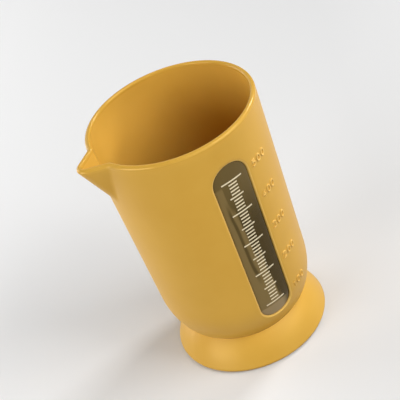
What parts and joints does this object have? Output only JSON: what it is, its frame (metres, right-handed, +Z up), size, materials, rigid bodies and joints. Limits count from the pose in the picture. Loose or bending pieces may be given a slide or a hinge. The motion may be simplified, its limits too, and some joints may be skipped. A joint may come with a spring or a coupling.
{
  "type": "measuring cup",
  "caption": "Tapered measuring cup without a handle, with a V pouring spout, a tinted sight window with a scale, raised numbers beside it, a rounded bottom and a flared foot.",
  "frame": {"origin": "middle of the bounding box at the level of the surface that the foot rests on; the cup's axis is 5.2 mm from it in +X, because the spout makes the box longer on the other side", "axes": "+Z up along the cup's axis, -X towards the spout's tip, -Y towards the middle of the sight window"},
  "size_m": [0.0984, 0.088, 0.143],
  "materials": {
    "honey_plastic": "satin, opaque",
    "smoked_plastic": "glossy, tinted brown",
    "cream_print": "printed ink"
  },
  "bodies": {
    "root": {"cup_body": "honey_plastic", "foot": "honey_plastic", "window": "smoked_plastic", "mark_100": "cream_print", "mark_110": "cream_print", "mark_120": "cream_print", "mark_130": "cream_print", "mark_140": "cream_print", "mark_150": "cream_print", "mark_160": "cream_print", "mark_170": "cream_print", "mark_180": "cream_print", "mark_190": "cream_print", "mark_200": "cream_print", "mark_210": "cream_print", "mark_220": "cream_print", "mark_230": "cream_print", "mark_240": "cream_print", "mark_250": "cream_print", "mark_260": "cream_print", "mark_270": "cream_print", "mark_280": "cream_print", "mark_290": "cream_print", "mark_300": "cream_print", "mark_310": "cream_print", "mark_320": "cream_print", "mark_330": "cream_print", "mark_340": "cream_print", "mark_350": "cream_print", "mark_360": "cream_print", "mark_370": "cream_print", "mark_380": "cream_print", "mark_390": "cream_print", "mark_400": "cream_print", "mark_410": "cream_print", "mark_420": "cream_print", "mark_430": "cream_print", "mark_440": "cream_print", "mark_450": "cream_print", "mark_460": "cream_print", "mark_470": "cream_print", "mark_480": "cream_print", "mark_490": "cream_print", "mark_500": "cream_print"}
  },
  "joints": []
}
